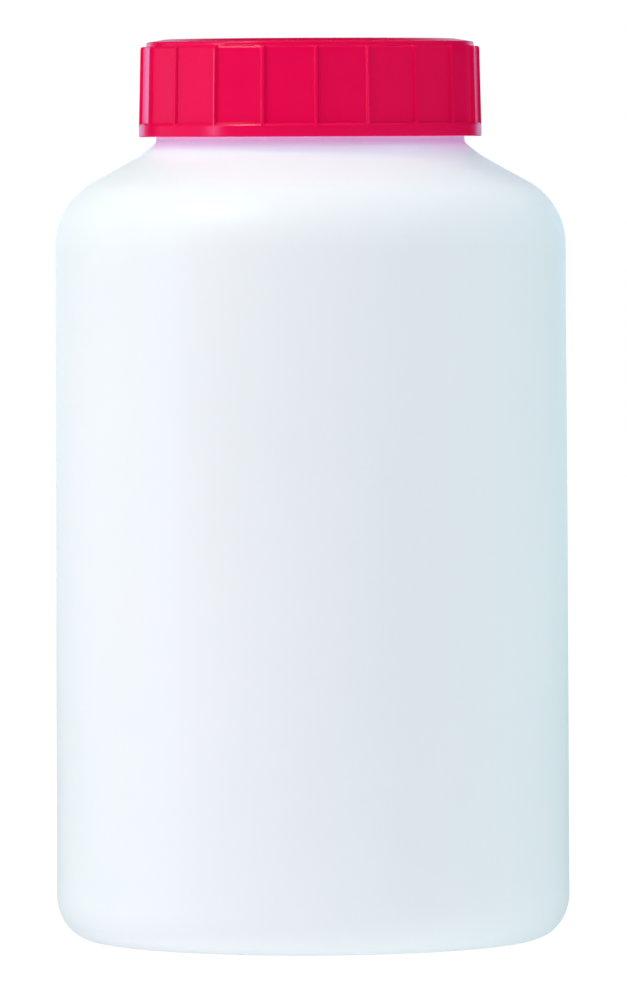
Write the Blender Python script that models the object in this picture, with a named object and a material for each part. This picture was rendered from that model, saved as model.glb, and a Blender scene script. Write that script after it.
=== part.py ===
"""Wide-mouth plastic reagent bottle: blow-moulded body, screw cap and sealing wad.

Frame: metres, +Z up along the bottle's axis, front facing -Y, origin at the centre of
the plane the base ring stands on. The body, cap and wad are separate solids; two hidden
helper ridges are joined to the body and the cap as their threads.
"""
import math

import bmesh
import bpy

MM = 0.001

# ---- bottle body -----------------------------------------------------------
BODY_R_LOW = 49.1 * MM         # wall radius just above the heel
BODY_R_HIGH = 48.8 * MM        # wall radius below the shoulder (slight taper)
BODY_WALL = 1.4 * MM
HEEL_HALF_W = 7.2 * MM         # heel rounding, horizontal half axis
HEEL_HALF_H = 8.5 * MM         # heel rounding, vertical half axis
HEEL_CENTRE_R = BODY_R_LOW - HEEL_HALF_W
BASE_RING_IN_R = 38.6 * MM     # inner edge of the flat ring the bottle stands on
BASE_PUSH_UP = 2.2 * MM        # height of the hollow under the base
BASE_STATIONS = (0.0, 0.4, 0.7, 0.9, 1.0)  # points across the hollow, shares of its radius
SHOULDER_Z = 132.55 * MM       # where the wall turns into the shoulder
SHOULDER_ROUND_R = 14.0 * MM
SHOULDER_CENTRE_R = BODY_R_HIGH - SHOULDER_ROUND_R
SHOULDER_SLOPE = 29.0          # degrees below horizontal, of the cone up to the neck
SHOULDER_TURN = 90.0 - SHOULDER_SLOPE   # degrees the wall turns through, onto the cone
MID_WALL_R = (BODY_R_LOW + BODY_R_HIGH) / 2
MID_WALL_Z = (HEEL_HALF_H + SHOULDER_Z) / 2

# ---- neck --------------------------------------------------------------------
NECK_R = 28.8 * MM             # outside radius, thread root
NECK_WALL = 2.0 * MM
NECK_IN_R = NECK_R - NECK_WALL
NECK_IN_FILLET = 4.0 * MM      # inside, between the shoulder cone and the bore
FLARE_SLOPE = 39.0             # degrees below horizontal, of the short flare under the collar
COLLAR_R = 29.45 * MM          # plain collar at the foot of the neck
COLLAR_Z0 = 152.3 * MM
COLLAR_Z1 = 154.7 * MM
COLLAR_FOOT_CUT = 0.35 * MM    # bevel between the flare and the collar
COLLAR_TOP_H = 0.6 * MM        # height of the chamfer from the collar in to the neck
LIP_Z = 168.15 * MM            # sealing lip
LIP_CHAMFER = 0.5 * MM

# ---- screw cap ---------------------------------------------------------------
CAP_Z0 = 153.5 * MM            # bottom rim
CAP_Z1 = 172.15 * MM           # top face
CAP_TOP_FLAT_R = 27.6 * MM     # flat middle of the top face
CAP_TOP_CONE_H = 0.58 * MM     # fall of the shallow cone outside the flat
CAP_STEP_R = 31.3 * MM         # plain step above the gripping zone
CAP_TOP_EDGE_R = 0.45 * MM     # rounding of the top edge
CAP_GRIP_Z1 = 170.7 * MM       # top of the gripping zone
CAP_LEDGE_FALL = 0.12 * MM     # fall from the foot of the step out to the grip
CAP_BAND_Z1 = 155.6 * MM       # top of the plain band at the bottom rim
CAP_BAND_BEVEL_H = 0.45 * MM   # height of the slope from the band in to the facets
CAP_R = 32.75 * MM             # bottom band, and ribs at their foot
CAP_RIB_TOP_R = 32.42 * MM     # ribs at the top, drafted
FACET_CORNER_LOW_R = 32.18 * MM
FACET_CORNER_TOP_R = 31.9 * MM
FACET_SPANS = 3                # columns across a facet, less one
RIB_COUNT = 20
RIB_W = 0.55 * MM
RIB_FOOT = 0.15 * MM           # widening of the rib on each side at its foot
RIB_PHASE_DEG = 2.1            # first rib, measured from the front towards +X
CAP_SKIRT_IN_R = 30.3 * MM
CAP_CEILING_Z = 170.25 * MM    # underside of the top plate
CAP_RIM_OUT_CHAMFER = 0.25 * MM
CAP_RIM_IN_CHAMFER = 0.3 * MM
CAP_CEILING_CHAMFER = 0.5 * MM

# ---- thread, single start, right hand ---------------------------------------
PITCH = 4.5 * MM
THREAD_GAP = 0.35 * MM         # from each thread's crest to the wall facing it
THREAD_CREST_W = 0.8 * MM
THREAD_SINK = 0.35 * MM        # depth of the ridge's base inside its wall
FADED_CREST_SINK = 0.12 * MM   # depth of the crest inside the wall at the thread's ends
RUN_OUT_DEG = 24.0             # each thread end fades into its wall over this angle
THREAD_STEPS_PER_TURN = 60
NECK_THREAD_Z = 158.45 * MM    # height of the neck thread's centre where it starts
NECK_TURNS = 1.5
NECK_THREAD_ROOT_W = 2.0 * MM
CAP_THREAD_DROP = 1.6 * MM     # cap thread runs this far under the neck thread
CAP_TURNS = 1.25
CAP_THREAD_ROOT_W = 1.8 * MM

# ---- sealing wad -------------------------------------------------------------
LINER_R = 29.6 * MM
LINER_GAP = 0.3 * MM           # to the lip below and to the cap's ceiling above
LINER_Z0 = LIP_Z + LINER_GAP
LINER_Z1 = CAP_CEILING_Z - LINER_GAP
LINER_CHAMFER = 0.2 * MM

TURNED_SEGMENTS = 60
SHARP_ANGLE_DEG = 30.0


# ---- shared helpers ----------------------------------------------------------
def clear_scene():
    for obj in list(bpy.data.objects):
        bpy.data.objects.remove(obj, do_unlink=True)


def material(name, colour, roughness):
    mat = bpy.data.materials.new(name)
    mat.use_nodes = True
    bsdf = mat.node_tree.nodes["Principled BSDF"]
    bsdf.inputs["Base Color"].default_value = (*colour, 1.0)
    bsdf.inputs["Roughness"].default_value = roughness
    return mat


def add_object(name, bm, mat=None):
    bmesh.ops.recalc_face_normals(bm, faces=bm.faces)
    mesh = bpy.data.meshes.new(name)
    bm.to_mesh(mesh)
    bm.free()
    obj = bpy.data.objects.new(name, mesh)
    bpy.context.scene.collection.objects.link(obj)
    if mat:
        mesh.materials.append(mat)
    mesh.shade_smooth()
    mesh.set_sharp_from_angle(angle=math.radians(SHARP_ANGLE_DEG))
    return obj


def arc(centre_r, centre_z, half_w, half_h, start, end, steps):
    """Points on an elliptical arc in the (radius, height) plane, angles in degrees."""
    points = []
    for i in range(steps + 1):
        angle = math.radians(start + (end - start) * i / steps)
        points.append((centre_r + half_w * math.cos(angle), centre_z + half_h * math.sin(angle)))
    return points


def turned(name, profile, mat):
    """Spin an open profile, both ends on the axis, into one closed body."""
    bm = bmesh.new()
    verts = [bm.verts.new((radius, 0.0, z)) for radius, z in profile]
    edges = [bm.edges.new(pair) for pair in zip(verts, verts[1:])]
    bmesh.ops.spin(bm, geom=verts + edges, cent=(0, 0, 0), axis=(0, 0, 1), dvec=(0, 0, 0),
                   angle=math.tau, steps=TURNED_SEGMENTS, use_merge=True, use_duplicate=False)
    bmesh.ops.remove_doubles(bm, verts=bm.verts, dist=1e-6)
    return add_object(name, bm, mat)


# ---- bottle body -------------------------------------------------------------
def base_hollow(floor_z):
    """Domed base from the axis out to the standing ring, which lies at floor_z."""
    return [(BASE_RING_IN_R * share, floor_z + BASE_PUSH_UP * (1.0 - share ** 4))
            for share in BASE_STATIONS]


def heel(inset, steps):
    """Heel rounding from the base up to the wall."""
    return arc(HEEL_CENTRE_R, HEEL_HALF_H, HEEL_HALF_W - inset, HEEL_HALF_H - inset,
               -90.0, 0.0, steps)


def shoulder_round(inset, steps):
    """Shoulder rounding from the wall up to the start of the cone."""
    radius = SHOULDER_ROUND_R - inset
    return arc(SHOULDER_CENTRE_R, SHOULDER_Z, radius, radius, 0.0, SHOULDER_TURN, steps)


def outer_shoulder():
    """Rounding, cone, and a short steeper flare up to the foot of the collar."""
    points = shoulder_round(inset=0.0, steps=8)
    cone_r, cone_z = points[-1]
    cone_rise = math.tan(math.radians(SHOULDER_SLOPE))
    flare_rise = math.tan(math.radians(FLARE_SLOPE))
    # radius where the cone's line crosses the flare's
    meet_r = ((COLLAR_Z0 + COLLAR_R * flare_rise - cone_z - cone_r * cone_rise)
              / (flare_rise - cone_rise))
    return points + [
        (meet_r, cone_z + (cone_r - meet_r) * cone_rise),
        (COLLAR_R + COLLAR_FOOT_CUT, COLLAR_Z0 - COLLAR_FOOT_CUT * flare_rise),
        (COLLAR_R, COLLAR_Z0 + COLLAR_FOOT_CUT),
    ]


def inner_shoulder():
    """Rounding, cone, and a fillet up into the bore of the neck."""
    points = shoulder_round(inset=BODY_WALL, steps=7)
    cone_r, cone_z = points[-1]
    meet_z = cone_z + (cone_r - NECK_IN_R) * math.tan(math.radians(SHOULDER_SLOPE))
    tangent_length = NECK_IN_FILLET * math.tan(math.radians(SHOULDER_TURN / 2))
    return points + arc(NECK_IN_R + NECK_IN_FILLET, meet_z + tangent_length,
                        NECK_IN_FILLET, NECK_IN_FILLET, 180.0 + SHOULDER_TURN, 180.0, steps=3)


def bottle_profile():
    """(radius, z) points: up the outside from the axis, over the lip, down the inside."""
    outer = [
        *base_hollow(floor_z=0.0),
        *heel(inset=0.0, steps=7),
        (MID_WALL_R, MID_WALL_Z),
        *outer_shoulder(),
        (COLLAR_R, COLLAR_Z1),
        (NECK_R, COLLAR_Z1 + COLLAR_TOP_H),
        (NECK_R, LIP_Z - LIP_CHAMFER),
        (NECK_R - LIP_CHAMFER, LIP_Z),
    ]
    inner = [
        *base_hollow(floor_z=BODY_WALL),
        *heel(inset=BODY_WALL, steps=6),
        (MID_WALL_R - BODY_WALL, MID_WALL_Z),
        *inner_shoulder(),
        (NECK_IN_R, LIP_Z - LIP_CHAMFER),
        (NECK_IN_R + LIP_CHAMFER, LIP_Z),
    ]
    return outer + inner[::-1]


# ---- threads -----------------------------------------------------------------
def thread_ridge(name, wall_r, crest_r, root_w, start_z, turns):
    """Closed helical ridge of trapezoid section, sunk a little into its wall.

    It starts at +X. wall_r < crest_r makes an outside thread, wall_r > crest_r an inside one.
    """
    outward = 1.0 if crest_r > wall_r else -1.0
    base_r = wall_r - outward * THREAD_SINK
    faded_r = wall_r - outward * FADED_CREST_SINK
    # half width gained per unit of depth; the flanks keep it as the ridge fades
    flank = (root_w - THREAD_CREST_W) / 2 / abs(crest_r - wall_r)
    steps = round(turns * THREAD_STEPS_PER_TURN)
    bm = bmesh.new()
    sections = []
    for i in range(steps + 1):
        degrees = 360.0 * turns * i / steps
        run_in = min(1.0, min(degrees, 360.0 * turns - degrees) / RUN_OUT_DEG)
        rise = math.sin(math.radians(90.0 * run_in))
        top_r = faded_r * (1.0 - rise) + crest_r * rise
        half_top = THREAD_CREST_W / 2
        half_base = half_top + flank * abs(top_r - base_r)
        z = start_z + PITCH * degrees / 360.0
        angle = math.radians(degrees)
        corners = ((base_r, -half_base), (top_r, -half_top), (top_r, half_top), (base_r, half_base))
        sections.append([
            bm.verts.new((radius * math.cos(angle), radius * math.sin(angle), z + rel_z))
            for radius, rel_z in corners
        ])
    for start, end in zip(sections, sections[1:]):
        for k in range(4):
            following = (k + 1) % 4
            bm.faces.new((start[k], end[k], end[following], start[following]))
    bm.faces.new(sections[0])
    bm.faces.new(sections[-1][::-1])
    ridge = add_object(name, bm)
    ridge.hide_render = True
    ridge.display_type = "WIRE"
    return ridge


def join_ridge(obj, ridge):
    union = obj.modifiers.new("thread", "BOOLEAN")
    union.operation = "UNION"
    union.solver = "EXACT"
    union.object = ridge


# ---- screw cap ---------------------------------------------------------------
def cap_columns():
    """Columns round the cap: (degrees from the front towards +X, facet scale).

    The scale turns a facet's corner radius into the radius on its flat; ribs have None.
    """
    half_rib = math.degrees(RIB_W / 2 / CAP_R)
    half_foot = math.degrees((RIB_W / 2 + RIB_FOOT) / CAP_R)
    half_pitch = 180.0 / RIB_COUNT
    half_facet = half_pitch - half_foot
    columns = []
    for i in range(RIB_COUNT):
        rib = RIB_PHASE_DEG + 2 * half_pitch * i
        columns += [(rib - half_rib, None), (rib + half_rib, None)]
        for k in range(FACET_SPANS + 1):
            from_middle = half_facet * (2 * k / FACET_SPANS - 1)
            scale = math.cos(math.radians(half_facet)) / math.cos(math.radians(from_middle))
            columns.append((rib + half_pitch + from_middle, scale))
    return columns


def screw_cap(mat):
    columns = cap_columns()

    def round_row(radius, z):
        return [radius] * len(columns), z

    def grip_row(rib_r, corner_r, z):
        return [rib_r if scale is None else corner_r * scale for _, scale in columns], z

    top_edge = arc(CAP_STEP_R - CAP_TOP_EDGE_R, CAP_Z1 - CAP_TOP_CONE_H - CAP_TOP_EDGE_R,
                   CAP_TOP_EDGE_R, CAP_TOP_EDGE_R, 80.0, 0.0, steps=3)
    # from the middle of the top face, down the outside, and up inside to the ceiling
    rows = [
        round_row(CAP_TOP_FLAT_R * 0.5, CAP_Z1),
        round_row(CAP_TOP_FLAT_R, CAP_Z1),
        *(round_row(radius, z) for radius, z in top_edge),
        round_row(CAP_STEP_R, CAP_GRIP_Z1 + CAP_LEDGE_FALL),
        grip_row(CAP_RIB_TOP_R, FACET_CORNER_TOP_R, CAP_GRIP_Z1),
        grip_row(CAP_R, FACET_CORNER_LOW_R, CAP_BAND_Z1 + CAP_BAND_BEVEL_H),
        round_row(CAP_R, CAP_BAND_Z1),
        round_row(CAP_R, CAP_Z0 + CAP_RIM_OUT_CHAMFER),
        round_row(CAP_R - CAP_RIM_OUT_CHAMFER, CAP_Z0),
        round_row(CAP_SKIRT_IN_R + CAP_RIM_IN_CHAMFER, CAP_Z0),
        round_row(CAP_SKIRT_IN_R, CAP_Z0 + CAP_RIM_IN_CHAMFER),
        round_row(CAP_SKIRT_IN_R, CAP_CEILING_Z - CAP_CEILING_CHAMFER),
        round_row(CAP_SKIRT_IN_R - CAP_CEILING_CHAMFER, CAP_CEILING_Z),
        round_row(CAP_SKIRT_IN_R * 0.5, CAP_CEILING_Z),
    ]

    bm = bmesh.new()
    top = bm.verts.new((0, 0, CAP_Z1))
    ceiling = bm.verts.new((0, 0, CAP_CEILING_Z))
    angles = [math.radians(degrees) for degrees, _ in columns]
    rings = [[bm.verts.new((radius * math.sin(angle), -radius * math.cos(angle), z))
              for radius, angle in zip(radii, angles)]
             for radii, z in rows]
    for j in range(len(columns)):
        k = (j + 1) % len(columns)
        bm.faces.new((top, rings[0][j], rings[0][k]))
        for ring, following in zip(rings, rings[1:]):
            bm.faces.new((ring[j], following[j], following[k], ring[k]))
        bm.faces.new((ceiling, rings[-1][k], rings[-1][j]))
    return add_object("screw_cap", bm, mat)


# ---- sealing wad -------------------------------------------------------------
def cap_liner(mat):
    """Flat disc with chamfered rims, between the lip and the cap's ceiling."""
    upper = [
        (0.0, LINER_Z1),
        (LINER_R / 2, LINER_Z1),
        (LINER_R - LINER_CHAMFER, LINER_Z1),
        (LINER_R, LINER_Z1 - LINER_CHAMFER),
    ]
    lower = [(radius, LINER_Z0 + LINER_Z1 - z) for radius, z in reversed(upper)]
    return turned("cap_liner", upper + lower, mat)


def main():
    clear_scene()
    hdpe = material("natural_hdpe", colour=(0.82, 0.85, 0.88), roughness=0.45)
    red_pp = material("red_polypropylene", colour=(0.72, 0.005, 0.045), roughness=0.32)
    foam = material("foamed_polyethylene", colour=(0.90, 0.90, 0.88), roughness=0.75)

    body = turned("bottle_body", bottle_profile(), hdpe)
    join_ridge(body, thread_ridge(
        "neck_thread_ridge", wall_r=NECK_R, crest_r=CAP_SKIRT_IN_R - THREAD_GAP,
        root_w=NECK_THREAD_ROOT_W, start_z=NECK_THREAD_Z, turns=NECK_TURNS))

    cap = screw_cap(red_pp)
    join_ridge(cap, thread_ridge(
        "cap_thread_ridge", wall_r=CAP_SKIRT_IN_R, crest_r=NECK_R + THREAD_GAP,
        root_w=CAP_THREAD_ROOT_W, start_z=NECK_THREAD_Z - CAP_THREAD_DROP, turns=CAP_TURNS))

    cap_liner(foam)


main()
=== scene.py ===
"""Looks of a wide-mouth plastic reagent bottle: body, screw cap and sealing wad.

The bottle stands on z = 0 with its axis on +Z and its front towards -Y. Shapes are
worked out in millimetres and turned into metres when a mesh is made. Materials, lights
and camera are in metres. In names, R is a radius, Z a height above the base, W a width.
"""

import math

import bpy
import numpy as np
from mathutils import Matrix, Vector

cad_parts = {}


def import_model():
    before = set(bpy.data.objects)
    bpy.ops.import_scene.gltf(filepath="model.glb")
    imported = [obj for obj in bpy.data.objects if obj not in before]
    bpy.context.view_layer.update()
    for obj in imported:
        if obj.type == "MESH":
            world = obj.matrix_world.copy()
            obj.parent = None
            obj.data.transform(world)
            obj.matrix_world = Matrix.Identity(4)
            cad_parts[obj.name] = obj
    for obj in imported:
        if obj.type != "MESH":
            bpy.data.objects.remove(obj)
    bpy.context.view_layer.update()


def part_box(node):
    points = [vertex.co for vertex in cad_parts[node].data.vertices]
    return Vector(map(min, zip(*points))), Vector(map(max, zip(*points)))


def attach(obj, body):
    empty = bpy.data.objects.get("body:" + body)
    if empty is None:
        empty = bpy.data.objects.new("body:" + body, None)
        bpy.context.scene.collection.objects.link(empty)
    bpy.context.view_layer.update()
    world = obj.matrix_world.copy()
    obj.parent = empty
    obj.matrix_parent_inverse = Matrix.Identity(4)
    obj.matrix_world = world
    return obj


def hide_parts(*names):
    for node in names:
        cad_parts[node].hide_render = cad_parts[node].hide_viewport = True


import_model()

MM = 0.001
TAU = math.tau

# ---- driving sizes, shared with the CAD part (mm, slopes in degrees) ------------
BODY_R_LOW, BODY_R_HIGH, BODY_WALL = 49.1, 48.8, 1.4
HEEL_RUN, HEEL_RISE = 7.2, 8.5          # elliptical rounding between base and wall
RING_IN_R, PUSH_UP = 38.6, 2.2          # flat standing ring, raised base inside it
RING_OUT_R = BODY_R_LOW - HEEL_RUN
SHOULDER_Z, SHOULDER_R, SHOULDER_SLOPE = 132.55, 14.0, 29.0
SHOULDER_TURN = 90.0 - SHOULDER_SLOPE
NECK_R, NECK_WALL, NECK_FILLET = 28.8, 2.0, 4.0
NECK_IN_R = NECK_R - NECK_WALL
ROOT_R, ROOT_Z, ROOT_TOP_Z = 29.45, 152.3, 154.7    # plain collar at the neck's root
ROOT_STEP_H, ROOT_ROUND, FLARE_SLOPE = 0.6, 0.25, 39.0
LIP_Z, LIP_ROUND = 168.15, 0.5
WELD_LENGTH, WELD_W = 58.0, 1.5         # pinched weld under the base
WELD_TOP_Z, WELD_LOW_Z = PUSH_UP + 0.7, PUSH_UP - 0.55

THREAD_PITCH, THREAD_CREST_W, RUN_OUT_DEG = 4.5, 0.8, 24.0
THREAD_SUNK, THREAD_ROUND, THREAD_STEPS_PER_TURN = 0.35, 0.22, 144

cap_low, cap_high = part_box("screw_cap")
CAP_Z0, CAP_Z1 = cap_low.z / MM, cap_high.z / MM
liner_low, liner_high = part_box("cap_liner")
LINER_Z0, LINER_Z1, LINER_R = liner_low.z / MM, liner_high.z / MM, liner_high.x / MM

SMOOTH_ANGLE = 40   # degrees; steeper edges are sharp


# ---- mesh helpers ---------------------------------------------------------------
def link(name, data):
    obj = bpy.data.objects.new(name, data)
    bpy.context.scene.collection.objects.link(obj)
    return obj


def new_mesh(name, verts, faces):
    mesh = bpy.data.meshes.new(name)
    mesh.from_pydata(verts, [], faces)
    mesh.update()
    return mesh


def ring_mesh(name, points, first, last):
    """Closed mesh from an array of rings (rows, columns, 3) with a pole at each end."""
    rows, cols = points.shape[:2]
    verts = np.concatenate([points.reshape(-1, 3), [first], [last]]) * MM
    row = np.arange(rows - 1)[:, None] * cols
    col = np.arange(cols)
    after = (col + 1) % cols
    quads = np.stack([row + col, row + after, row + cols + after, row + cols + col], -1)
    pole, end = rows * cols, (rows - 1) * cols
    first_fan = np.stack([np.full(cols, pole), after, col], -1)
    last_fan = np.stack([np.full(cols, pole + 1), end + col, end + after], -1)
    faces = quads.reshape(-1, 4).tolist() + first_fan.tolist() + last_fan.tolist()
    return new_mesh(name, verts.tolist(), faces)


def face_out(mesh):
    """Turns every face outwards, judged by the sign of the enclosed volume."""
    mesh.calc_loop_triangles()
    coords = np.zeros(len(mesh.vertices) * 3)
    mesh.vertices.foreach_get("co", coords)
    index = np.zeros(len(mesh.loop_triangles) * 3, dtype=np.int32)
    mesh.loop_triangles.foreach_get("vertices", index)
    tri = coords.reshape(-1, 3)[index.reshape(-1, 3)]
    if np.einsum("ij,ij->i", tri[:, 0], np.cross(tri[:, 1], tri[:, 2])).sum() < 0:
        mesh.flip_normals()
    return mesh


def swept_mesh(name, sections):
    """Closed bar through a list of equal sections of (x, y, z) points, flat at both ends."""
    count, last = len(sections[0]), len(sections) - 1
    faces = []
    for i in range(last):
        here, there = i * count, (i + 1) * count
        for k in range(count):
            after = (k + 1) % count
            faces.append((here + k, there + k, there + after, here + after))
    faces.append(tuple(range(count)))
    faces.append(tuple(last * count + k for k in reversed(range(count))))
    verts = [(x * MM, y * MM, z * MM) for section in sections for x, y, z in section]
    return face_out(new_mesh(name, verts, faces))


def arc(centre, radius, start, end, steps, height=None):
    """Arc of (radius, z) points between two angles in degrees; a height makes it elliptical."""
    height = radius if height is None else height
    angle = np.radians(np.linspace(start, end, steps + 1))
    return list(zip(centre[0] + radius * np.cos(angle), centre[1] + height * np.sin(angle)))


def line(start, end, steps):
    """Points from start towards end, without start, ending on end."""
    share = np.arange(1, steps + 1) / steps
    return list(zip(start[0] + (end[0] - start[0]) * share,
                    start[1] + (end[1] - start[1]) * share))


def bend(before, corner, after, cut_in, cut_out, steps):
    """Rounds a corner with a parabola that starts and ends at the given distances."""
    before, corner, after = (np.array(v, dtype=float) for v in (before, corner, after))
    start = corner + (before - corner) / np.linalg.norm(before - corner) * cut_in
    end = corner + (after - corner) / np.linalg.norm(after - corner) * cut_out
    t = np.linspace(0.0, 1.0, steps + 1)[:, None]
    return [tuple(v) for v in start * (1 - t) ** 2 + 2 * corner * t * (1 - t) + end * t ** 2]


def smooth(t):
    t = np.clip(t, 0.0, 1.0)
    return t * t * (3 - 2 * t)


def spread(profile, angles):
    """Radius, height and angle grids: one row per profile point, one column per angle."""
    profile = np.array(profile)
    radius = np.repeat(profile[:, :1], len(angles), 1)
    z = np.repeat(profile[:, 1:], len(angles), 1)
    return radius, z, np.repeat(angles[None, :], len(profile), 0)


def from_polar(radius, z, angle):
    return np.stack([radius * np.cos(angle), radius * np.sin(angle), z], -1)


def union(obj, meshes):
    """Joins closed meshes to obj with exact unions and keeps only the result."""
    tools = []
    for i, mesh in enumerate(meshes):
        tool = link(f"tool_{i}", mesh)
        tools.append(tool)
        mod = obj.modifiers.new(f"join_{i}", "BOOLEAN")
        mod.operation = "UNION"
        mod.solver = "EXACT"
        mod.object = tool
    depsgraph = bpy.context.evaluated_depsgraph_get()
    result = bpy.data.meshes.new_from_object(obj.evaluated_get(depsgraph))
    obj.modifiers.clear()
    old = obj.data
    obj.data = result
    result.name = old.name + "_joined"
    bpy.data.meshes.remove(old)
    for tool in tools:
        bpy.data.objects.remove(tool, do_unlink=True)


def ridge_mesh(name, wall_r, crest_r, root_w, z0, turns):
    """Closed helical thread ridge with rounded crest edges, sunk a little into its wall."""
    out = 1.0 if crest_r > wall_r else -1.0
    sunk_r = wall_r - out * THREAD_SUNK
    steps = int(round(turns * THREAD_STEPS_PER_TURN))
    half = THREAD_CREST_W / 2
    slope = (root_w - THREAD_CREST_W) / 2 / abs(crest_r - wall_r)
    sections = []
    for i in range(steps + 1):
        degrees = 360.0 * turns * i / steps
        # the ridge rises out of the wall at one end and sinks back into it at the other
        edge = min(degrees, 360.0 * turns - degrees) / RUN_OUT_DEG
        rise = math.sin(math.radians(90.0 * min(1.0, edge)))
        top = (wall_r - out * 0.12) * (1.0 - rise) + crest_r * rise
        rounding = THREAD_ROUND * max(0.15, rise)
        outline = [(sunk_r, -(half + slope * abs(top - sunk_r)))]
        for share in (0.0, 0.3, 0.6, 1.0):
            turn = share * math.pi / 2
            outline.append((top - out * rounding * (1 - math.sin(turn)),
                            -half + rounding * (1 - math.cos(turn))
                            - rounding * slope * (1 - share)))
        outline += [(radius, -z) for radius, z in reversed(outline)]
        mid_z = z0 + THREAD_PITCH * degrees / 360.0
        cos, sin = math.cos(math.radians(degrees)), math.sin(math.radians(degrees))
        sections.append([(radius * cos, radius * sin, mid_z + z) for radius, z in outline])
    return swept_mesh(name, sections)


# ---- bottle body ----------------------------------------------------------------
# shares of the standing ring's inner radius at which the raised base has a ring
BASE_SHARES_OUT = (0.05, 0.12, 0.2, 0.3, 0.4, 0.5, 0.6, 0.7, 0.78, 0.85, 0.9, 0.94, 0.97)
BASE_SHARES_IN = (0.99, 0.94, 0.85, 0.7, 0.5, 0.3, 0.12)
SEAM_HEIGHT, SEAM_W = 0.07, 0.26
SEAM_SPLIT_R = 43.0     # wall and lower shoulder lie outside it, base and neck inside


def raised_base(shares, lift=0.0):
    return [(RING_IN_R * k, lift + PUSH_UP * (1 - k ** 4)) for k in shares]


def shoulder_arc(inset, steps):
    return arc((BODY_R_HIGH - SHOULDER_R, SHOULDER_Z), SHOULDER_R - inset,
               0.0, SHOULDER_TURN, steps)


def inner_shoulder():
    """Inner face upwards: rounding, cone, and a fillet into the neck's bore."""
    points = shoulder_arc(BODY_WALL, 18)
    edge_r, edge_z = points[-1]
    meet_z = edge_z + (edge_r - NECK_IN_R) * math.tan(math.radians(SHOULDER_SLOPE))
    cut = NECK_FILLET * math.tan(math.radians(SHOULDER_TURN / 2))
    fillet = arc((NECK_IN_R + NECK_FILLET, meet_z + cut), NECK_FILLET,
                 180.0 + SHOULDER_TURN, 180.0, 8)
    return points + line(points[-1], fillet[0], 6) + fillet[1:]


def outer_shoulder():
    """Outer face upwards: rounding, cone, and a steeper flare that meets the collar."""
    points = shoulder_arc(0.0, 26)
    edge_r, edge_z = points[-1]
    cone = math.tan(math.radians(SHOULDER_SLOPE))
    flare = math.tan(math.radians(FLARE_SLOPE))
    # z = edge_z + (edge_r - r) cone meets z = ROOT_Z - (r - ROOT_R) flare
    meet_r = (ROOT_Z + ROOT_R * flare - edge_z - edge_r * cone) / (flare - cone)
    meet = (meet_r, edge_z + (edge_r - meet_r) * cone)
    root, root_top = (ROOT_R, ROOT_Z), (ROOT_R, ROOT_TOP_Z)
    first = bend((edge_r, edge_z), meet, root, cut_in=1.4, cut_out=1.2, steps=6)
    second = bend(meet, root, root_top, cut_in=0.7, cut_out=0.5, steps=6)
    return (points + line(points[-1], first[0], 8) + first[1:]
            + line(first[-1], second[0], 2) + second[1:])


def outer_profile():
    """From the base's centre out and up to the lip."""
    out = raised_base(BASE_SHARES_OUT)
    # the raised base rolls over into the flat ring
    out += [(RING_IN_R - 0.5, 0.10), (RING_IN_R - 0.2, 0.03), (RING_IN_R + 0.1, 0.0)]
    out += line(out[-1], (RING_OUT_R, 0.0), 3)
    out += arc((RING_OUT_R, HEEL_RISE), HEEL_RUN, -90.0, 0.0, 28, height=HEEL_RISE)[1:]
    out += line((BODY_R_LOW, HEEL_RISE), (BODY_R_HIGH, SHOULDER_Z), 34)
    out += outer_shoulder()[1:]
    # collar, then in to the threaded neck
    out += line(out[-1], (ROOT_R, ROOT_TOP_Z - ROOT_ROUND), 2)
    out += arc((ROOT_R - ROOT_ROUND, ROOT_TOP_Z - ROOT_ROUND), ROOT_ROUND, 0.0, 60.0, 4)[1:]
    step_z = ROOT_TOP_Z + ROOT_STEP_H
    out += [(NECK_R + 0.12, step_z - 0.2), (NECK_R + 0.03, step_z - 0.05),
            (NECK_R, step_z + 0.1)]
    out += line(out[-1], (NECK_R, LIP_Z - LIP_ROUND), 12)
    out += arc((NECK_R - LIP_ROUND, LIP_Z - LIP_ROUND), LIP_ROUND, 0.0, 90.0, 5)[1:]
    return out


def inner_profile():
    """From the lip back down the inside to the base's centre."""
    inner = arc((NECK_IN_R + LIP_ROUND, LIP_Z - LIP_ROUND), LIP_ROUND, 90.0, 180.0, 5)
    shoulder = inner_shoulder()
    inner += line(inner[-1], shoulder[-1], 8)
    inner += shoulder[::-1][1:]
    inner += line(shoulder[0], (BODY_R_LOW - BODY_WALL, HEEL_RISE), 16)
    inner += arc((RING_OUT_R, HEEL_RISE), HEEL_RUN - BODY_WALL, 0.0, -90.0, 14,
                 height=HEEL_RISE - BODY_WALL)[1:]
    return inner + raised_base(BASE_SHARES_IN, lift=BODY_WALL)


def body_columns():
    """Angles from +X, closer together where the two mould halves meet at +X and -X."""
    even = np.arange(240) * (TAU / 240)
    near = np.array([0.12, 0.24, 0.4, 0.62, 0.9]) / 49.0    # arc lengths over a radius
    extra = np.concatenate([near, -near, math.pi + near, math.pi - near]) % TAU
    return np.unique(np.round(np.concatenate([even, extra]), 9))


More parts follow.
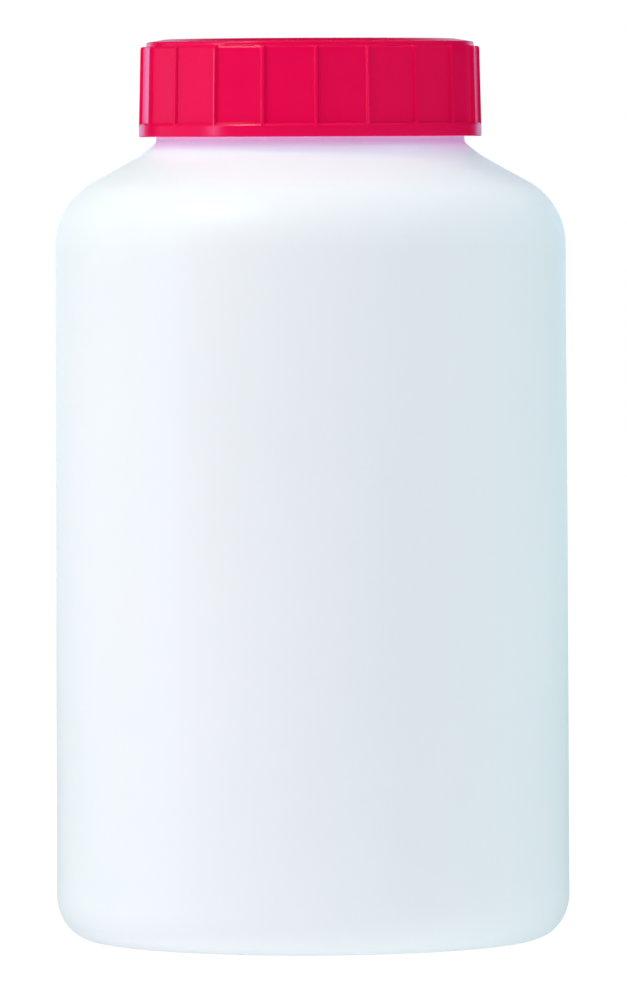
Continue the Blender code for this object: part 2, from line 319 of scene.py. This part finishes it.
def body_mesh():
    out = outer_profile()
    profile = out + inner_profile()
    radius, z, angle = spread(profile, body_columns())
    outer = (np.arange(len(profile)) < len(out))[:, None]
    # free-blown wall: very shallow, slow waviness that dies out at heel and neck
    zone = smooth((z - 4.0) / 22.0) * smooth((150.0 - z) / 22.0)
    wave = (0.045 * np.sin(2 * angle + 0.6 + 0.018 * z)
            + 0.028 * np.sin(3 * angle - 1.1 + 0.05 * z)
            + 0.018 * np.sin(5 * angle + 2.0 - 0.07 * z)
            - 0.03 * (1 + np.cos(z * TAU / 118.0)) * 0.5)
    radius = radius + zone * (wave - 0.05) * outer
    # witness line of the mould's parting plane, up both sides to the collar
    off_seam = np.abs((angle + math.pi / 2) % math.pi - math.pi / 2)
    off_seam = np.minimum(off_seam, 1.0) * radius
    seam = (np.exp(-((off_seam / SEAM_W) ** 2))
            * np.where(radius > SEAM_SPLIT_R, smooth((z - 1.0) / 4.0), z > 100.0)
            * smooth((153.5 - z) / 1.5))
    radius = radius + outer * SEAM_HEIGHT * seam
    return ring_mesh("bottle_shell", from_polar(radius, z, angle),
                     (0, 0, PUSH_UP), (0, 0, PUSH_UP + BODY_WALL))


def weld_mesh():
    """Rounded bar along X under the base, lower and narrower towards its ends."""
    half = WELD_W / 2
    outline = [(half, WELD_TOP_Z), (half, WELD_LOW_Z + 0.3),
               (WELD_W * 0.38, WELD_LOW_Z + 0.1), (WELD_W * 0.2, WELD_LOW_Z)]
    outline += [(-y, z) for y, z in reversed(outline)]
    sections = []
    for x in np.linspace(-WELD_LENGTH / 2, WELD_LENGTH / 2, 25):
        full = min(1.0, (WELD_LENGTH / 2 - abs(x)) / 3.0)
        full = math.sqrt(max(0.0, 1 - (1 - full) ** 2)) * 0.92 + 0.08
        sections.append([(x, y * (0.5 + 0.5 * full),
                          WELD_TOP_Z + (z - WELD_TOP_Z) * (0.35 + 0.65 * full))
                         for y, z in outline])
    return swept_mesh("base_weld", sections)


# ---- screw cap ------------------------------------------------------------------
CAP_R, CAP_RIB_TOP_R = 32.75, 32.42         # rib crests at the bottom and top
FACET_LOW_R, FACET_TOP_R = 32.18, 31.9      # corners of the flat panels
TOP_BAND_R, TOP_BAND_ROUND, LEDGE_Z, BAND_Z = 31.3, 0.45, 170.72, 155.6
RIBS, RIB_PHASE_DEG = 20, 2.1
SKIRT_IN_R, CEILING_Z = 30.3, 170.25
LOW_ROUND, MOUTH_ROUND, CEILING_ROUND = 0.25, 0.35, 0.6
# edges above and below the panels
TOP_CHAMFER_DEPTH, TOP_CHAMFER_H = 0.20, 0.36
LOW_CHAMFER_DEPTH, LOW_CHAMFER_H = 0.30, 0.46

# arc distances (mm) of the mesh columns on one side of a rib
RIB_COLUMNS = [0.0, 0.11, 0.19, 0.25, 0.30, 0.35, 0.40, 0.45, 0.51, 0.60, 0.9, 1.6, 2.6, 3.8]
# radius, height over the cap's top: moulding gate in a shallow dimple, then a flat disc
TOP_FACE = [
    (0.5, 0.02), (0.9, -0.02), (1.1, -0.16), (1.6, -0.20), (2.3, -0.17), (2.9, -0.06),
    (3.5, 0.0), (6.0, 0.0), (10.0, 0.0), (15.0, 0.0), (20.0, 0.0), (24.0, 0.0),
    (26.4, 0.0), (27.1, -0.01), (27.8, -0.05),
]
TOP_EDGE = (30.75, -0.56)
# distance outwards (the last is the whole ledge), height over the ledge
TOP_LEDGE = [(0.0, 0.0), (0.40, -0.005), (0.66, -0.02), (0.80, -0.05), (0.88, -0.10)]
# shares of the top chamfer's depth and height, from the panel's plane
TOP_CHAMFER = [(-0.96, -0.13), (-0.75, -0.26), (-0.50, -0.44), (-0.25, -0.66),
               (-0.08, -0.86), (0.0, -1.1)]
# share of the way from panel to chamfer, height over the chamfer's top
LOW_LEDGE = [(0.02, 0.10), (0.08, 0.05), (0.20, 0.025), (0.5, 0.02), (0.8, 0.015),
             (0.93, 0.0), (1.0, -0.04)]
# share of the way out to the band, share of the low chamfer's height
LOW_CHAMFER = [(0.22, 0.80), (0.5, 0.52), (0.78, 0.24), (0.93, 0.08), (1.0, -0.08)]


def cap_columns():
    """Angles from the front towards +X, and each one's arc distance (mm) from its rib."""
    pitch = 360.0 / RIBS
    half_arc = math.radians(pitch / 2) * CAP_R
    offsets = np.array([-x for x in RIB_COLUMNS[:0:-1]] + RIB_COLUMNS + [half_arc])
    angles = [RIB_PHASE_DEG + pitch * i + np.degrees(offsets / CAP_R) for i in range(RIBS)]
    return np.radians(np.concatenate(angles)), np.concatenate([np.abs(offsets)] * RIBS)


def grip_radius(distance, t):
    """Flat panels with thin ribs; t is 0 at the top of the grip and 1 at its bottom."""
    corner = FACET_TOP_R + (FACET_LOW_R - FACET_TOP_R) * t
    crest = CAP_RIB_TOP_R + (CAP_R - CAP_RIB_TOP_R) * t
    half = math.pi / RIBS
    facet = corner * math.cos(half) / np.cos(half - distance / CAP_R)
    rib = 1.0 - smooth((distance - 0.20) / 0.34)
    return facet + (crest - facet) * rib


def cap_mesh():
    angles, distance = cap_columns()
    one = np.ones_like(angles)
    rows = []

    def ring(radius, z):
        rows.append((radius * one, z * one))

    # top face, then a shallow cone to the tight top edge
    for radius, z in TOP_FACE + line(TOP_FACE[-1], TOP_EDGE, 5):
        ring(radius, CAP_Z1 + z)
    for radius, z in arc((TOP_BAND_R - TOP_BAND_ROUND, CAP_Z1 - 1.0), TOP_BAND_ROUND,
                         72.0, 0.0, 6):
        ring(radius, z)
    ledge_r = TOP_BAND_R + 0.10
    ring(TOP_BAND_R, LEDGE_Z + 0.14)
    ring(TOP_BAND_R + 0.03, LEDGE_Z + 0.05)
    ring(ledge_r, LEDGE_Z)
    # ledge out to the rounded top edge of panels and ribs
    panel = grip_radius(distance, 0.0)
    for reach, z in TOP_LEDGE:
        share = reach / TOP_LEDGE[-1][0]
        ring(ledge_r + (panel - ledge_r - TOP_CHAMFER_DEPTH) * share, LEDGE_Z + z)
    chamfer_z = LEDGE_Z - 0.06
    for depth, height in TOP_CHAMFER:
        ring(panel + TOP_CHAMFER_DEPTH * depth, chamfer_z + TOP_CHAMFER_H * height)
    # panels and ribs
    low_edge_z = BAND_Z + LOW_CHAMFER_H
    top_z, low_z = chamfer_z - TOP_CHAMFER_H * 1.1, low_edge_z + 0.16
    for t in np.linspace(0, 1, 9)[1:]:
        ring(grip_radius(distance, t), top_z + (low_z - top_z) * t)
    # a hollow corner, a nearly level ledge, then a chamfer to the plain band
    panel = grip_radius(distance, 1.0)
    edge = CAP_R - LOW_CHAMFER_DEPTH
    for share, z in LOW_LEDGE:
        ring(panel + np.maximum(edge - panel, 0.0) * share, low_edge_z + z)
    start = np.maximum(edge, panel)
    for share, height in LOW_CHAMFER:
        ring(start + (CAP_R - start) * share, BAND_Z + LOW_CHAMFER_H * height)
    ring(CAP_R, BAND_Z - 0.5)
    ring(CAP_R, CAP_Z0 + 0.9)
    # rim
    for radius, z in arc((CAP_R - LOW_ROUND, CAP_Z0 + LOW_ROUND), LOW_ROUND, 0.0, -90.0, 5):
        ring(radius, z)
    ring(31.6, CAP_Z0)
    for radius, z in arc((SKIRT_IN_R + MOUTH_ROUND, CAP_Z0 + MOUTH_ROUND), MOUTH_ROUND,
                         -90.0, -180.0, 4):
        ring(radius, z)
    # inside of the skirt and the ceiling
    round_z = CEILING_Z - CEILING_ROUND
    for z in np.linspace(CAP_Z0 + MOUTH_ROUND, round_z, 12)[1:]:
        ring(SKIRT_IN_R, z)
    for radius, z in arc((SKIRT_IN_R - CEILING_ROUND, round_z), CEILING_ROUND,
                         0.0, 90.0, 5)[1:]:
        ring(radius, z)
    for radius in (27.0, 22.0, 16.0, 10.0, 5.0, 2.0):
        ring(radius, CEILING_Z)
    radius = np.array([row[0] for row in rows])
    z = np.array([row[1] for row in rows])
    points = np.stack([radius * np.sin(angles), -radius * np.cos(angles), z], -1)
    return ring_mesh("cap_shell", points, (0, 0, CAP_Z1 + 0.03), (0, 0, CEILING_Z))


# ---- sealing wad ----------------------------------------------------------------
LINER_ROUND = 0.3
LINER_LOW_RADII = (2.0, 6.0, 12.0, 18.0, 23.0, 25.0, 25.9, 26.2, 26.5, 26.9, 27.6, 28.2,
                   28.5, 28.9, 29.2)
LINER_TOP_RADII = (27.0, 22.0, 16.0, 9.0, 3.0)


def liner_mesh():
    """Soft disc, its lower face dented in a ring by the bottle's lip, its edge uneven."""
    top_z = LINER_Z1 - 0.01
    profile = []
    for radius in LINER_LOW_RADII:
        dent = 0.10 * (smooth((radius - 25.9) / 0.9) - smooth((radius - 28.4) / 0.8))
        profile.append((radius, LINER_Z0 + dent))
    profile += arc((LINER_R - LINER_ROUND, LINER_Z0 + 0.35), LINER_ROUND, -80.0, 0.0, 5)
    profile += [(LINER_R - 0.02, (LINER_Z0 + LINER_Z1) / 2)]
    profile += arc((LINER_R - LINER_ROUND, LINER_Z1 - LINER_ROUND), LINER_ROUND, 0.0, 90.0, 5)
    profile += [(radius, top_z) for radius in LINER_TOP_RADII]
    radius, z, angle = spread(profile, np.arange(180) * (TAU / 180))
    edge = smooth((radius - 28.0) / 1.0) * smooth((LINER_R + 0.1 - radius) / 0.05)
    radius = radius - edge * 0.03 * (1 + np.sin(23 * angle) * np.sin(41 * angle + 1.0))
    return ring_mesh("liner_disc", from_polar(radius, z, angle),
                     (0, 0, LINER_Z0), (0, 0, top_z))


# ---- node helpers ---------------------------------------------------------------
class Nodes:
    """Writes node trees in a few lines. Inputs may be values or other nodes' sockets."""

    def __init__(self, tree):
        self.tree = tree
        tree.nodes.clear()

    def add(self, kind, inputs=None, **props):
        node = self.tree.nodes.new(kind)
        for key, value in props.items():
            setattr(node, key, value)
        for key, value in (inputs or {}).items():
            self.feed(node.inputs[key], value)
        return node

    def feed(self, socket, value):
        if isinstance(value, bpy.types.NodeSocket):
            self.tree.links.new(value, socket)
        else:
            socket.default_value = value

    def math(self, operation, first, second):
        return self.add("ShaderNodeMath", {0: first, 1: second}, operation=operation).outputs[0]

    def plus(self, value, offset):
        return self.math("ADD", value, offset)

    def times(self, value, factor):
        return self.math("MULTIPLY", value, factor)

    def mix(self, factor, first, second):
        """Blends two colours, each a socket or a red, green, blue triple."""
        node = self.add("ShaderNodeMix", data_type="RGBA")
        sockets = {socket.identifier: socket for socket in node.inputs}
        self.feed(sockets["Factor_Float"], factor)
        for key, colour in (("A_Color", first), ("B_Color", second)):
            self.feed(sockets[key], (*colour, 1) if isinstance(colour, tuple) else colour)
        return next(s for s in node.outputs if s.identifier == "Result_Color")

    def coord(self, output):
        return self.add("ShaderNodeTexCoord").outputs[output]

    def split(self, vector):
        return self.add("ShaderNodeSeparateXYZ", {0: vector}).outputs

    def stretch(self, vector, *, z):
        return self.add("ShaderNodeMapping", {"Vector": vector, "Scale": (1.0, 1.0, z)}).outputs[0]

    def noise(self, vector, *, scale, detail=2.0, rough=0.5):
        return self.add("ShaderNodeTexNoise", {
            "Vector": vector, "Scale": scale, "Detail": detail, "Roughness": rough,
        }).outputs["Fac"]

    def ramp(self, value, *, start, end, low=0.0, high=1.0):
        """Low at start, high at end, straight in between and level outside."""
        return self.add("ShaderNodeMapRange", {
            "Value": value, "From Min": start, "From Max": end, "To Min": low, "To Max": high,
        }).outputs[0]

    def bump(self, height, *, strength, distance, **inputs):
        return self.add("ShaderNodeBump", {
            "Strength": strength, "Distance": distance, "Height": height, **inputs,
        }).outputs[0]

    def facing_out(self, place, normal):
        """Metres from the axis, positive on faces that look away from it."""
        return self.plus(self.times(place["X"], normal["X"]), self.times(place["Y"], normal["Y"]))

    def principled(self, inputs):
        bsdf = self.add("ShaderNodeBsdfPrincipled", inputs)
        self.add("ShaderNodeOutputMaterial", {"Surface": bsdf.outputs[0]})


def new_material(name):
    mat = bpy.data.materials.new(name)
    mat.use_nodes = True
    return mat, Nodes(mat.node_tree)


# ---- materials ------------------------------------------------------------------
# painted glow: emission colours for body and cap that stand in for light passing through their
# walls; they are no lamps
BODY_PAINTED_GLOW = (0.14, 0.28, 0.28)
NECK_PAINTED_GLOW = (0.14, 0.40, 0.41)
CAP_PAINTED_GLOW = (0.52, 0.06, 0.72)


def hdpe_material():
    """Natural polyethylene: milky, satin, mottled, with the fine grain of a blasted mould.

    The wall is translucent. A faint blue-green painted glow (emission) stands in for light
    coming back out through it, stronger up to the neck and dimmed under the cap.
    """
    mat, nodes = new_material("natural_hdpe")
    at = nodes.coord("Object")
    grain = nodes.noise(at, scale=2600.0, rough=0.6)
    mottle = nodes.noise(at, scale=55.0, detail=3.0, rough=0.55)
    cloud = nodes.noise(at, scale=14.0)
    place = nodes.split(at)
    # milky mottling, greyed by the grain and by faint dark speckles
    base = nodes.mix(nodes.ramp(mottle, start=0.3, end=0.7),
                     (0.885, 0.920, 0.950), (0.905, 0.930, 0.955))
    base = nodes.mix(nodes.times(nodes.ramp(grain, start=0.35, end=0.65), factor=0.35),
                     base, (0.84, 0.875, 0.91))
    speckle = nodes.noise(at, scale=900.0, detail=5.0, rough=0.75)
    base = nodes.mix(nodes.ramp(speckle, start=0.25, end=0.75, high=0.075),
                     base, (0.20, 0.22, 0.26))
    rough = nodes.plus(nodes.ramp(cloud, start=0.3, end=0.7, low=0.35, high=0.40),
                       nodes.ramp(grain, start=0.3, end=0.7, low=-0.03, high=0.03))
    fine = nodes.bump(grain, strength=0.22, distance=0.00006)
    relief = nodes.bump(mottle, strength=0.25, distance=0.0004, Normal=fine)
    # the painted glow shows on the outer faces only and fades at the collar, as painted shade
    # under the cap
    outward = nodes.facing_out(place, nodes.split(nodes.coord("Normal")))
    glow = nodes.times(nodes.ramp(outward, start=0.002, end=0.006),
                       nodes.ramp(place["Z"], start=0.1515, end=0.1528, low=1.0, high=0.10))
    # painted glow colour: bluer and stronger near the neck, where it lightens the shade under the
    # cap's overhang
    tint = nodes.mix(nodes.ramp(place["Z"], start=0.1490, end=0.1506), BODY_PAINTED_GLOW, NECK_PAINTED_GLOW)
    # painted shade: near the neck the painted glow is darker towards +X
    painted_shade_right = nodes.times(nodes.ramp(place["X"], start=0.0185, end=0.0290, high=0.35),
                      nodes.ramp(place["Z"], start=0.1488, end=0.1502))
    tint = nodes.mix(painted_shade_right, tint, (0.0, 0.0, 0.0))
    nodes.principled({
        "Base Color": base, "Roughness": rough, "Normal": relief, "IOR": 1.50,
        "Subsurface Weight": 0.85, "Subsurface Radius": (1.0, 1.0, 1.0),
        "Subsurface Scale": 0.004, "Emission Color": tint, "Emission Strength": glow,
    })
    mat.cycles.emission_sampling = "NONE"
    return mat


def red_pp_material():
    """Crimson polypropylene, semi-gloss, with faint flow marks and a fine moulded grain.

    The inside of the skirt and the underside of the rim have a painted glow that stands in for
    light let through the thin wall, and the outline has a painted pink sheen.
    """
    mat, nodes = new_material("red_polypropylene")
    at = nodes.coord("Object")
    flow = nodes.noise(nodes.stretch(at, z=0.4), scale=90.0)
    fine = nodes.noise(at, scale=1900.0)
    scuff = nodes.noise(nodes.stretch(at, z=3.0), scale=260.0, detail=3.0, rough=0.6)
    base = nodes.mix(flow, (0.82, 0.0009, 0.080), (0.89, 0.0016, 0.094))
    place = nodes.split(at)
    normal = nodes.split(nodes.coord("Normal"))
    # painted sheen: towards the outline, on upright faces seen at a grazing angle, the red is
    # mixed to a lighter pink that stands in for light there
    outward = nodes.add("ShaderNodeCombineXYZ", {"X": place["X"], "Y": place["Y"], "Z": 0.0})
    outward = nodes.add("ShaderNodeVectorTransform", {0: outward.outputs[0]},
                        vector_type="NORMAL", convert_from="OBJECT", convert_to="WORLD")
    outline = nodes.add("ShaderNodeLayerWeight", {"Blend": 0.5, "Normal": outward.outputs[0]})
    outline = nodes.ramp(outline.outputs["Facing"], start=0.64, end=0.86)
    grazing_sheen = nodes.add("ShaderNodeLayerWeight", {"Blend": 0.5})
    grazing_sheen = nodes.ramp(grazing_sheen.outputs["Facing"], start=0.55, end=0.85)
    upright = nodes.ramp(normal["Z"], start=0.30, end=0.60, low=1.0, high=0.0)
    base = nodes.mix(nodes.times(nodes.times(outline, grazing_sheen), upright),
                     base, (0.95, 0.16, 0.42))
    rough = nodes.plus(nodes.times(flow, factor=0.06), nodes.times(scuff, factor=0.06))
    rough = nodes.plus(rough, offset=0.13)
    relief = nodes.bump(fine, strength=0.10, distance=0.00004)
    # painted glow inside: faces that look towards the axis, and the underside of the rim, emit a
    # magenta light
    facing = nodes.facing_out(place, normal)
    inside = nodes.math("MAXIMUM", nodes.ramp(facing, start=-0.005, end=-0.015),
                        nodes.ramp(normal["Z"], start=-0.5, end=-0.9, high=0.2))
    nodes.principled({
        "Base Color": base, "Roughness": rough, "Normal": relief, "IOR": 1.45,
        "Specular Tint": (1.0, 0.74, 1.0, 1),
        "Emission Color": (*CAP_PAINTED_GLOW, 1), "Emission Strength": inside,
    })
    return mat


def foam_material():
    """Closed-cell polyethylene foam: white, matt, with fine cells."""
    mat, nodes = new_material("foamed_polyethylene")
    at = nodes.coord("Object")
    cells = nodes.add("ShaderNodeTexVoronoi", {"Vector": at, "Scale": 2600.0}).outputs["Distance"]
    cloud = nodes.noise(at, scale=160.0, detail=3.0)
    base = nodes.mix(nodes.ramp(cloud, start=0.3, end=0.7),
                     (0.90, 0.90, 0.87), (0.94, 0.94, 0.92))
    middle = nodes.ramp(cells, start=0.0, end=0.5, low=1.0, high=0.0)
    base = nodes.mix(nodes.times(middle, factor=0.25), base, (0.80, 0.80, 0.77))
    relief = nodes.bump(cells, strength=0.4, distance=0.0001)
    nodes.principled({
        "Base Color": base, "Normal": relief, "IOR": 1.4,
        "Roughness": nodes.ramp(cloud, start=0.3, end=0.7, low=0.68, high=0.8),
        "Subsurface Weight": 0.5, "Subsurface Radius": (1.0, 1.0, 0.95),
        "Subsurface Scale": 0.001,
    })
    return mat


# ---- the object -----------------------------------------------------------------
def make_piece(name, mesh, material, joined=()):
    obj = link(name, face_out(mesh))
    if joined:
        union(obj, joined)
    obj.data.shade_smooth()
    obj.data.set_sharp_from_angle(angle=math.radians(SMOOTH_ANGLE))
    # a union can leave an empty slot
    obj.data.materials.clear()
    obj.data.materials.append(material)
    return obj


neck_ridge = ridge_mesh("neck_ridge", wall_r=NECK_R, crest_r=29.95, root_w=2.0,
                        z0=158.45, turns=1.5)
body = make_piece("bottle_body_visual", body_mesh(), hdpe_material(),
                  [neck_ridge, weld_mesh()])
cap_ridge = ridge_mesh("cap_ridge", wall_r=SKIRT_IN_R, crest_r=29.15, root_w=1.8,
                       z0=156.85, turns=1.25)
cap = make_piece("screw_cap_visual", cap_mesh(), red_pp_material(), [cap_ridge])
liner = make_piece("cap_liner_visual", liner_mesh(), foam_material())

for piece, node, group, finish in (
    (body, "bottle_body", "bottle", "body_hdpe"),
    (cap, "screw_cap", "cap", "cap_pp"),
    (liner, "cap_liner", "liner", "liner_foam"),
):
    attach(piece, group)
    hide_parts(node)


# ---- floor, light and camera (metres) -------------------------------------------
BACKGROUND_SEEN = (1.0, 1.0, 1.0)
FLOOR_SEEN = (0.80, 0.80, 0.80)
FLOOR_LEFT = (0.87, 0.64, 0.71)
FLOOR_RIGHT = (0.59, 0.60, 0.60)
FLOOR_RADII = [0.06, 0.15, 0.4, 1.0, 2.5, 9.0]
FLOOR_SIDES = 96
# each soft lobe of light from the room: direction, colour
ROOM_LIGHT = (
    ((-1.0, 0.0, 0.0), (0.36, 0.31, 0.18)),
    ((1.0, 0.0, 0.0), (0.30, 0.50, 0.49)),
    ((0.0, -1.0, 0.0), (0.36, 0.06, 0.15)),
    ((0.0, 0.0, 1.0), (1.60, 1.31, 1.52)),
)
LOBE_SHARPNESS = 2.0


def floor():
    """Lit white sweep: coloured from side to side, but plain where the camera sees it."""
    count = FLOOR_SIDES
    verts = [(0.0, 0.0, 0.0)]
    for radius in FLOOR_RADII:
        verts += [(radius * math.cos(TAU * k / count), radius * math.sin(TAU * k / count), 0.0)
                  for k in range(count)]
    faces = [(0, 1 + k, 1 + (k + 1) % count) for k in range(count)]
    for i in range(len(FLOOR_RADII) - 1):
        near, far = 1 + i * count, 1 + (i + 1) * count
        faces += [(near + k, far + k, far + (k + 1) % count, near + (k + 1) % count)
                  for k in range(count)]
    mesh = bpy.data.meshes.new("floor")
    mesh.from_pydata(verts, [], faces)
    obj = link("floor", mesh)
    obj.location.z = -0.0002
    mat, nodes = new_material("pale_floor")
    side = nodes.ramp(nodes.split(nodes.coord("Object"))["X"], start=-0.12, end=0.12)
    glow = nodes.mix(side, FLOOR_LEFT, FLOOR_RIGHT)
    seen = nodes.add("ShaderNodeLightPath").outputs["Is Camera Ray"]
    nodes.principled({
        "Base Color": (0.30, 0.30, 0.30, 1), "Roughness": 0.8, "Specular IOR Level": 0.1,
        "Emission Color": nodes.mix(seen, glow, FLOOR_SEEN), "Emission Strength": 1.0,
    })
    mat.cycles.emission_sampling = "NONE"
    mesh.materials.append(mat)
    obj.visible_glossy = False


def world():
    """Soft surround, the sum of the room's lobes. Seen directly it is white."""
    studio = bpy.data.worlds.new("studio")
    studio.use_nodes = True
    bpy.context.scene.world = studio
    nodes = Nodes(studio.node_tree)
    at = nodes.coord("Generated")
    total = None
    for direction, colour in ROOM_LIGHT:
        lobe = nodes.add("ShaderNodeVectorMath", {0: at, 1: direction}, operation="DOT_PRODUCT")
        lobe = nodes.math("MAXIMUM", lobe.outputs["Value"], 0.0)
        lobe = nodes.math("POWER", lobe, LOBE_SHARPNESS)
        part = nodes.add("ShaderNodeVectorMath", {0: colour, "Scale": lobe},
                         operation="SCALE").outputs[0]
        total = part if total is None else nodes.add(
            "ShaderNodeVectorMath", {0: total, 1: part}, operation="ADD").outputs[0]
    seen = nodes.add("ShaderNodeLightPath").outputs["Is Camera Ray"]
    colour = nodes.mix(seen, total, BACKGROUND_SEEN)
    background = nodes.add("ShaderNodeBackground", {"Color": colour, "Strength": 1.0})
    nodes.add("ShaderNodeOutputWorld", {"Surface": background.outputs[0]})
    # the room gives soft light only: the highlights are the soft boxes'
    studio.cycles_visibility.glossy = False
    studio.cycles.sampling_method = "NONE"


def soft_box(name, *, direction, distance, size, power, target=(0, 0, 0.12)):
    """Round (one size) or rectangular (two); power is watts in red, green and blue."""
    data = bpy.data.lights.new(name, "AREA")
    if len(size) == 1:
        data.shape = "DISK"
        data.size = size[0]
    else:
        data.shape = "RECTANGLE"
        data.size, data.size_y = size
    data.energy = max(power)
    data.color = [p / max(power) for p in power]
    obj = link(name, data)
    towards = Vector(direction).normalized()
    obj.location = Vector(target) + towards * distance
    obj.rotation_mode = "QUATERNION"
    obj.rotation_quaternion = towards.to_track_quat("Z", "Y")
    obj.visible_camera = False


def camera():
    """In front, a little above the body, far off with a long lens, tilted slightly down."""
    data = bpy.data.cameras.new("camera")
    data.sensor_width = 36.0
    data.sensor_fit = "AUTO"
    data.lens = 357.444
    data.clip_start, data.clip_end = 0.1, 40.0
    obj = link("camera", data)
    obj.location = (0.00062, -1.9, 0.15527)
    obj.rotation_mode = "XYZ"
    tilt_down, roll = 2.150, 0.22   # degrees
    obj.rotation_euler = (math.radians(90.0 - tilt_down), math.radians(roll), 0.0)
    bpy.context.scene.camera = obj


floor()
world()
soft_box("key", direction=(-0.551, -0.299, 0.779), distance=1.1, size=(0.33,),
         power=(2.50, 3.0, 2.10))
soft_box("backdrop", direction=(0.0, 1.0, 0.075), distance=1.6, size=(1.9, 0.52),
         power=(1.2, 1.8, 2.5))
soft_box("side_strip", direction=(-0.92, -0.38, 0.10), distance=1.2, size=(0.16, 0.7),
         power=(0.9, 1.2, 1.7))
soft_box("left_card", direction=(-0.985, 0.170, 0.05), distance=1.5, size=(1.4, 1.0),
         power=(0.5, 1.0, 1.3), target=(0, 0, 0.15))
camera()
bpy.context.scene.view_settings.view_transform = "Standard"
